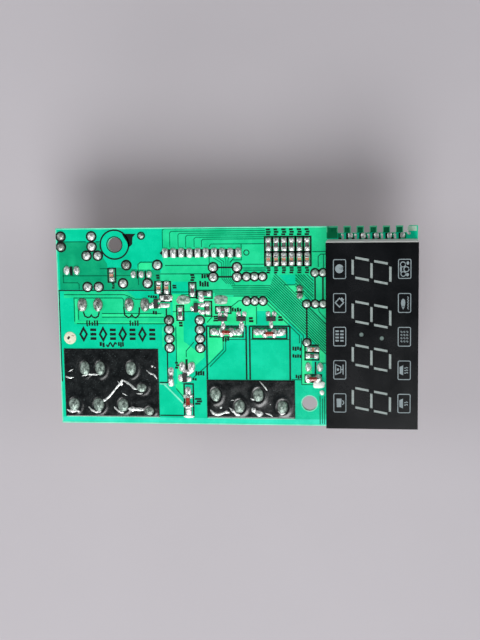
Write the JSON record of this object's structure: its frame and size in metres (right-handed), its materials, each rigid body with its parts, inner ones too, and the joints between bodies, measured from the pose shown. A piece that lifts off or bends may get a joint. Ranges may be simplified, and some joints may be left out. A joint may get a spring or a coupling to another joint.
{
  "type": "oven control board",
  "caption": "Oven control board: mains transformer, relays and connectors below a printed circuit board, four-digit display module and solder joints above.",
  "frame": {"origin": "under the middle of the board, on the surface that the transformer stands on", "axes": "+X along the board's long side towards the display, +Y along its short side towards the keypad connector, +Z out of the copper side"},
  "size_m": [0.112, 0.062, 0.0426],
  "materials": {
    "circuit_board": "green glass-fibre laminate with glossy solder mask",
    "solder": "bright tin-lead solder",
    "tinned_metal": "tin-plated lead wire",
    "brass": "plain rolled brass",
    "copper_winding": "enamelled copper wire",
    "laminated_steel": "stacked steel sheets, varnished",
    "soft_iron": "zinc-plated",
    "black_sheet": "glossy black insulating film",
    "black_moulding": "moulded, fine grain",
    "dark_film": "smooth dark face film",
    "white_moulding": "moulded, semi-gloss",
    "diffuser": "milky light diffuser",
    "pale_ceramic": "fired, tan",
    "lacquered_resistor": "lacquered, with colour bands",
    "red_glass": "tinted glass",
    "blue_epoxy": "dipped epoxy",
    "aluminium_sleeve": "aluminium in a dark printed sleeve",
    "rubber_seal": "moulded rubber",
    "smoke_cover": "smoke-tinted clear moulding",
    "yellow_tape": "polyester tape",
    "cream_nylon": "natural nylon",
    "light_chip": "light-emitting chip under clear resin",
    "pale_sticker": "pale green paint dot"
  },
  "bodies": {
    "control_board": {"circuit_board": "circuit_board", "solder_joints": "solder", "mains_insulating_sheet": "black_sheet", "relay_insulating_sheet": "black_sheet", "inspection_dot": "pale_sticker", "small_resistors": "black_moulding", "small_capacitors": "pale_ceramic", "small_transistors": "black_moulding", "small_transistor_legs": "tinned_metal", "glass_diodes": "red_glass", "glass_diode_caps": "tinned_metal", "display_housing": "white_moulding", "display_face_film": "dark_film", "display_segments": "diffuser", "display_icon_windows": "diffuser", "display_circuit_board": "circuit_board", "display_pins": "tinned_metal", "display_light_chips": "light_chip", "transformer_e_core": "laminated_steel", "transformer_i_core": "laminated_steel", "transformer_bobbin": "black_moulding", "transformer_pins": "tinned_metal", "transformer_secondary_winding": "copper_winding", "transformer_primary_winding": "copper_winding", "transformer_tape": "yellow_tape", "relay_bases": "black_moulding", "relay_covers": "smoke_cover", "relay_bobbins": "cream_nylon", "relay_windings": "copper_winding", "relay_cores": "soft_iron", "relay_yokes": "soft_iron", "relay_coil_pins": "tinned_metal", "relay_fixed_contacts": "brass", "relay_spring_terminals": "brass", "mains_header_housing": "cream_nylon", "mains_header_pins": "tinned_metal", "varistor": "blue_epoxy", "rectifier_diodes": "black_moulding", "axial_resistors": "lacquered_resistor", "power_resistor": "lacquered_resistor", "axial_leads": "tinned_metal", "wire_links": "tinned_metal", "capacitor_cans": "aluminium_sleeve", "capacitor_seals": "rubber_seal", "power_transistor": "black_moulding", "resonator": "blue_epoxy", "buzzer": "black_moulding", "radial_leads": "tinned_metal", "keypad_connector_housing": "cream_nylon", "keypad_connector_contacts": "tinned_metal", "optocoupler": "black_moulding", "microcontroller": "black_moulding", "integrated_circuit_pins": "tinned_metal"},
    "relay_left_armature": {"relay_left_armature": "soft_iron"},
    "relay_left_card": {"relay_left_card": "cream_nylon"},
    "relay_left_contact_spring": {"relay_left_contact_spring": "brass"},
    "relay_right_armature": {"relay_right_armature": "soft_iron"},
    "relay_right_card": {"relay_right_card": "cream_nylon"},
    "relay_right_contact_spring": {"relay_right_contact_spring": "brass"}
  },
  "joints": [
    {"name": "relay_left_armature_pivot", "type": "hinge", "parent": "control_board", "child": "relay_left_armature", "pos_m": [-0.0026, -0.01665, 0.0274], "axis": [1, 0, 0], "range_deg": [0, 5], "stiffness_Nm_per_rad": 0.002, "springref_deg": -2.86},
    {"name": "relay_left_card_slide", "type": "slide", "parent": "control_board", "child": "relay_left_card", "axis": [0, 1, 0], "range_m": [0, 0.00099]},
    {"name": "relay_left_contact_flex", "type": "hinge", "parent": "control_board", "child": "relay_left_contact_spring", "pos_m": [-0.0026, -0.0251, 0.0275], "axis": [1, 0, 0], "range_deg": [0, 5]},
    {"name": "relay_right_armature_pivot", "type": "hinge", "parent": "control_board", "child": "relay_right_armature", "pos_m": [0.0109, -0.01665, 0.0274], "axis": [1, 0, 0], "range_deg": [0, 5], "stiffness_Nm_per_rad": 0.002, "springref_deg": -2.86},
    {"name": "relay_right_card_slide", "type": "slide", "parent": "control_board", "child": "relay_right_card", "axis": [0, 1, 0], "range_m": [0, 0.00099]},
    {"name": "relay_right_contact_flex", "type": "hinge", "parent": "control_board", "child": "relay_right_contact_spring", "pos_m": [0.0109, -0.0251, 0.0275], "axis": [1, 0, 0], "range_deg": [0, 5]}
  ],
  "couplings": [
    {"joint": "relay_left_card_slide", "follows": "relay_left_armature_pivot", "m_per_rad": 0.01129},
    {"joint": "relay_left_contact_flex", "follows": "relay_left_armature_pivot", "ratio": 0.99},
    {"joint": "relay_right_card_slide", "follows": "relay_right_armature_pivot", "m_per_rad": 0.01129},
    {"joint": "relay_right_contact_flex", "follows": "relay_right_armature_pivot", "ratio": 0.99}
  ]
}
